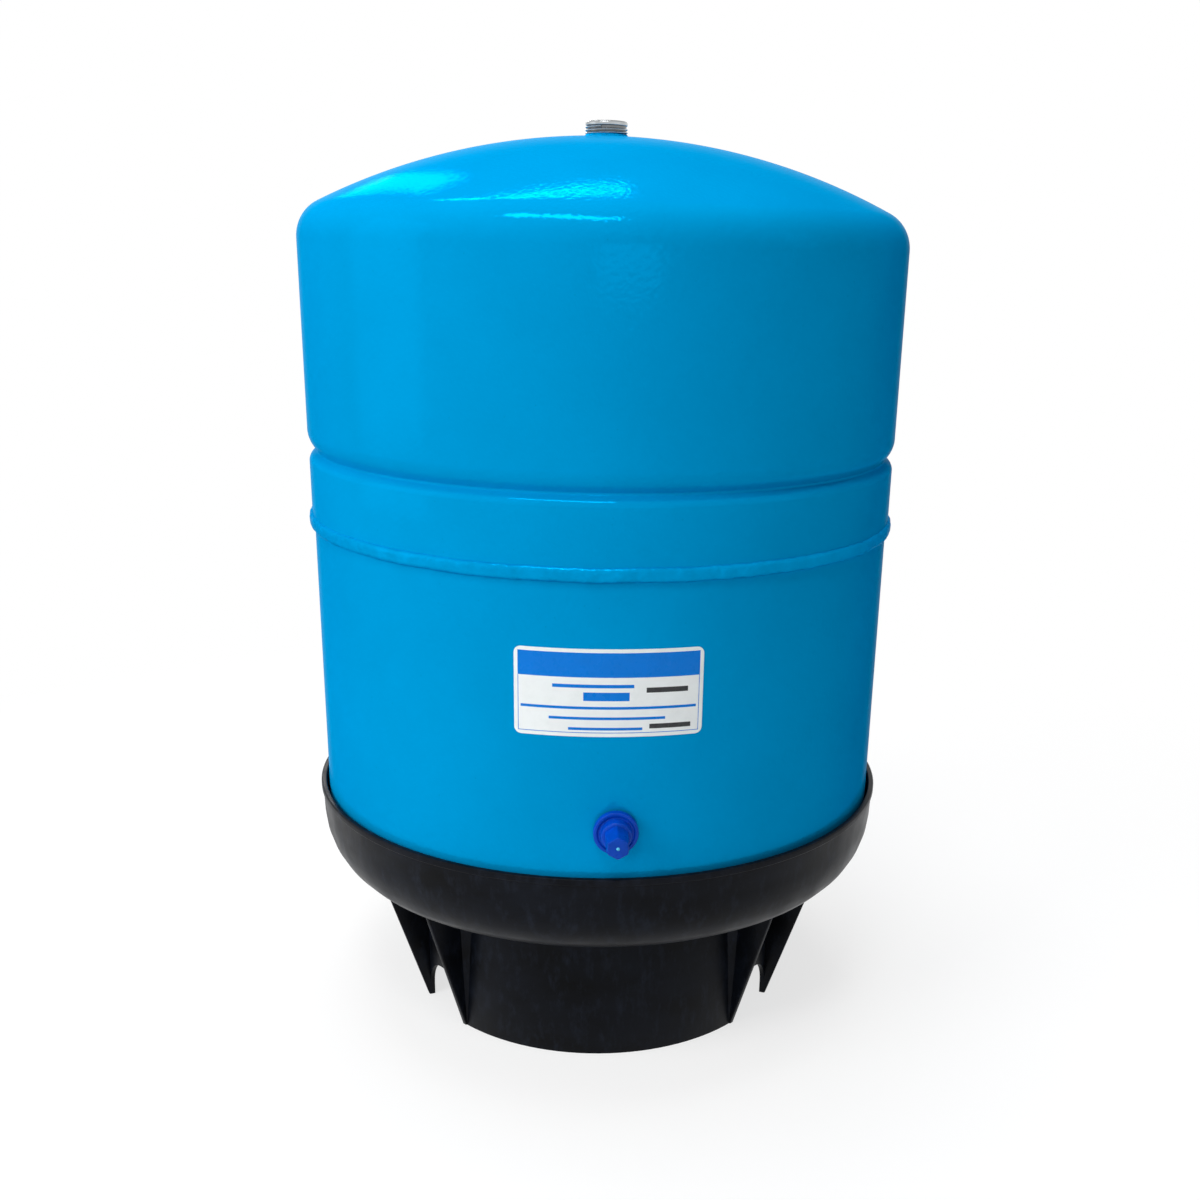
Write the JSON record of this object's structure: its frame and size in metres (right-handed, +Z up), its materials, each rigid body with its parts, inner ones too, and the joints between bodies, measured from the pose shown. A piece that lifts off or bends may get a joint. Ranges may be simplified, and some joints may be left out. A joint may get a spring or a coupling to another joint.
{
  "type": "well pressure tank",
  "caption": "Upright steel diaphragm pressure tank with domed ends, a threaded water port on top, a capped air valve low on its side and a moulded base with flared legs.",
  "frame": {"origin": "on the tank's axis at the floor that the base stands on", "axes": "+Z up along the tank's axis to the water port, -Y towards the air valve, +X to the right of someone who faces the valve"},
  "size_m": [0.3876, 0.4086, 0.5796],
  "materials": {
    "tank_paint": "gloss paint with a fine orange peel",
    "port_steel": "turned",
    "ring_steel": "plain",
    "valve_brass": "turned",
    "black_rubber": "matte",
    "liner_plastic": "moulded",
    "cap_plastic": "moulded, satin gloss",
    "label_film": "printed film with plain fields of colour",
    "stand_plastic": "moulded, semi-matte"
  },
  "bodies": {
    "tank": {"upper_shell": "tank_paint", "lower_shell": "tank_paint", "seam_weld": "tank_paint", "water_port": "port_steel", "port_weld": "tank_paint", "port_seal": "black_rubber", "liner": "liner_plastic", "diaphragm": "black_rubber", "clench_ring": "ring_steel", "valve_bush": "tank_paint", "valve_weld": "tank_paint", "valve_stem": "valve_brass", "valve_core_barrel": "valve_brass", "valve_core_gasket": "black_rubber", "valve_core_spring": "ring_steel", "rating_label": "label_film", "base_stand": "stand_plastic"},
    "valve_cap": {"valve_cap": "cap_plastic", "valve_cap_gasket": "black_rubber"},
    "valve_pin": {"valve_pin": "valve_brass", "valve_pin_seal": "black_rubber"}
  },
  "joints": [
    {"name": "cap_off", "type": "slide", "parent": "tank", "child": "valve_cap", "axis": [0, -1, 0], "range_m": [0, 0.026]},
    {"name": "pin_press", "type": "slide", "parent": "tank", "child": "valve_pin", "axis": [0, 1, 0], "range_m": [0, 0.0012], "stiffness_N_per_m": 400, "springref_m": -0.002, "deforming": ["valve_core_spring"]}
  ]
}
